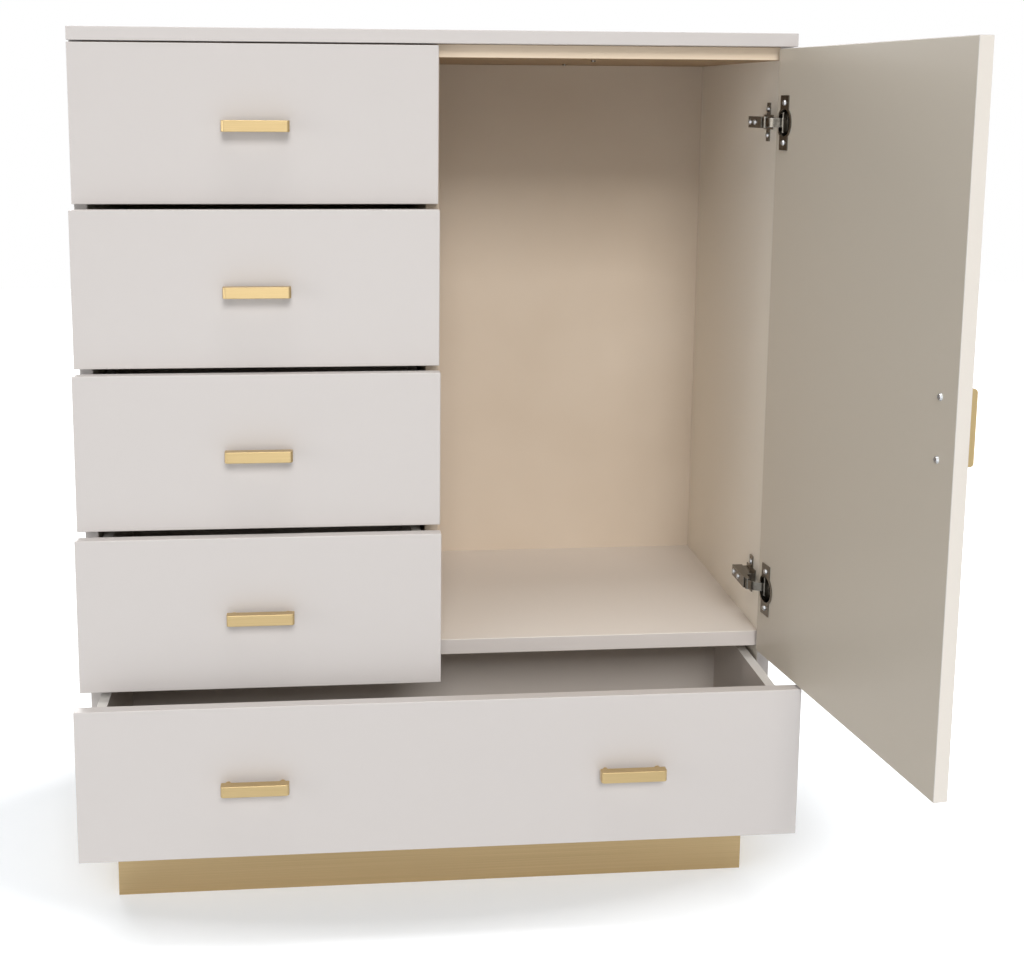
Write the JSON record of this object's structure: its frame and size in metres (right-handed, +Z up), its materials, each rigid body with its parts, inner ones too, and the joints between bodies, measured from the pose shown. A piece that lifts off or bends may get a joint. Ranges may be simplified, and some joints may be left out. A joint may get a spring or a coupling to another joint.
{
  "type": "highboard",
  "caption": "Free-standing highboard on a recessed plinth, with small drawers beside a tall hinged-door compartment and a wide drawer below, each with a bar handle.",
  "frame": {"origin": "centre of the plinth's underside, where the highboard stands on the floor", "axes": "+Z up, the fronts face -Y, +X to the right as seen from the front"},
  "size_m": [0.9398, 0.8198, 1.1],
  "materials": {
    "lacquer": "satin lacquer",
    "inner_board": "matt beige melamine",
    "box_board": "matt beige foil",
    "gold_foil_board": "brushed gold foil on board",
    "gold_metal": "satin gold",
    "zinc_steel": "zinc plated",
    "nickel_steel": "nickel plated",
    "beech": "bare"
  },
  "bodies": {
    "carcass": {"top_panel": "lacquer", "carcass_top_board": "inner_board", "left_side_panel": "lacquer", "right_side_panel": "lacquer", "centre_partition": "inner_board", "compartment_floor": "inner_board", "bottom_board": "inner_board", "back_panel": "inner_board", "plinth_front_board": "gold_foil_board", "plinth_back_board": "gold_foil_board", "plinth_cross_boards": "gold_foil_board", "carcass_dowels": "beech", "cabinet_rails": "zinc_steel", "cabinet_screws": "zinc_steel", "back_panel_nails": "zinc_steel", "hinge_plates": "nickel_steel", "hinge_arms": "nickel_steel", "hinge_screws": "nickel_steel"},
    "hinge_link_pair": {"hinge_links": "nickel_steel", "hinge_pins": "nickel_steel"},
    "door": {"door_panel": "lacquer", "door_handle": "gold_metal", "hinge_cups": "nickel_steel", "door_screws": "nickel_steel"},
    "drawer_1": {"drawer_1_front": "lacquer", "drawer_1_box_walls": "box_board", "drawer_1_bottom": "box_board", "drawer_1_handle": "gold_metal", "drawer_1_screws": "nickel_steel", "drawer_1_rails": "zinc_steel"},
    "drawer_1_middle": {"drawer_1_middle_rails": "zinc_steel"},
    "drawer_2": {"drawer_2_front": "lacquer", "drawer_2_box_walls": "box_board", "drawer_2_bottom": "box_board", "drawer_2_handle": "gold_metal", "drawer_2_screws": "nickel_steel", "drawer_2_rails": "zinc_steel"},
    "drawer_2_middle": {"drawer_2_middle_rails": "zinc_steel"},
    "drawer_3": {"drawer_3_front": "lacquer", "drawer_3_box_walls": "box_board", "drawer_3_bottom": "box_board", "drawer_3_handle": "gold_metal", "drawer_3_screws": "nickel_steel", "drawer_3_rails": "zinc_steel"},
    "drawer_3_middle": {"drawer_3_middle_rails": "zinc_steel"},
    "drawer_4": {"drawer_4_front": "lacquer", "drawer_4_box_walls": "box_board", "drawer_4_bottom": "box_board", "drawer_4_handle": "gold_metal", "drawer_4_screws": "nickel_steel", "drawer_4_rails": "zinc_steel"},
    "drawer_4_middle": {"drawer_4_middle_rails": "zinc_steel"},
    "wide_drawer": {"wide_drawer_front": "lacquer", "wide_drawer_box_walls": "box_board", "wide_drawer_bottom": "box_board", "wide_drawer_handle": "gold_metal", "wide_drawer_screws": "nickel_steel", "wide_drawer_rails": "zinc_steel"},
    "wide_drawer_middle": {"wide_drawer_middle_rails": "zinc_steel"}
  },
  "joints": [
    {"name": "drawer_1_pull", "type": "slide", "parent": "carcass", "child": "drawer_1", "axis": [0, -1, 0], "range_m": [0, 0.24]},
    {"name": "drawer_1_middle_pull", "type": "slide", "parent": "carcass", "child": "drawer_1_middle", "axis": [0, -1, 0], "range_m": [0, 0.12]},
    {"name": "drawer_2_pull", "type": "slide", "parent": "carcass", "child": "drawer_2", "axis": [0, -1, 0], "range_m": [-0.025, 0.215]},
    {"name": "drawer_2_middle_pull", "type": "slide", "parent": "carcass", "child": "drawer_2_middle", "axis": [0, -1, 0], "range_m": [-0.0125, 0.1075]},
    {"name": "drawer_3_pull", "type": "slide", "parent": "carcass", "child": "drawer_3", "axis": [0, -1, 0], "range_m": [-0.044, 0.196]},
    {"name": "drawer_3_middle_pull", "type": "slide", "parent": "carcass", "child": "drawer_3_middle", "axis": [0, -1, 0], "range_m": [-0.022, 0.098]},
    {"name": "drawer_4_pull", "type": "slide", "parent": "carcass", "child": "drawer_4", "axis": [0, -1, 0], "range_m": [-0.065, 0.175]},
    {"name": "drawer_4_middle_pull", "type": "slide", "parent": "carcass", "child": "drawer_4_middle", "axis": [0, -1, 0], "range_m": [-0.0325, 0.0875]},
    {"name": "wide_drawer_pull", "type": "slide", "parent": "carcass", "child": "wide_drawer", "axis": [0, -1, 0], "range_m": [-0.115, 0.125]},
    {"name": "wide_drawer_middle_pull", "type": "slide", "parent": "carcass", "child": "wide_drawer_middle", "axis": [0, -1, 0], "range_m": [-0.0575, 0.0625]},
    {"name": "hinge_link_swing", "type": "hinge", "parent": "carcass", "child": "hinge_link_pair", "pos_m": [0.4014, -0.1862, 0], "axis": [0, 0, 1], "range_deg": [-2.29, 34.13]},
    {"name": "door_swing", "type": "hinge", "parent": "hinge_link_pair", "child": "door", "pos_m": [0.41957, -0.20057, 0], "axis": [0, 0, 1], "range_deg": [-131.62, 8.78]}
  ],
  "couplings": [
    {"joint": "drawer_1_middle_pull", "follows": "drawer_1_pull", "ratio": 0.5},
    {"joint": "drawer_2_middle_pull", "follows": "drawer_2_pull", "ratio": 0.5},
    {"joint": "drawer_3_middle_pull", "follows": "drawer_3_pull", "ratio": 0.5},
    {"joint": "drawer_4_middle_pull", "follows": "drawer_4_pull", "ratio": 0.5},
    {"joint": "wide_drawer_middle_pull", "follows": "wide_drawer_pull", "ratio": 0.5},
    {"joint": "hinge_link_swing", "follows": "door_swing", "ratio": -0.25926}
  ]
}
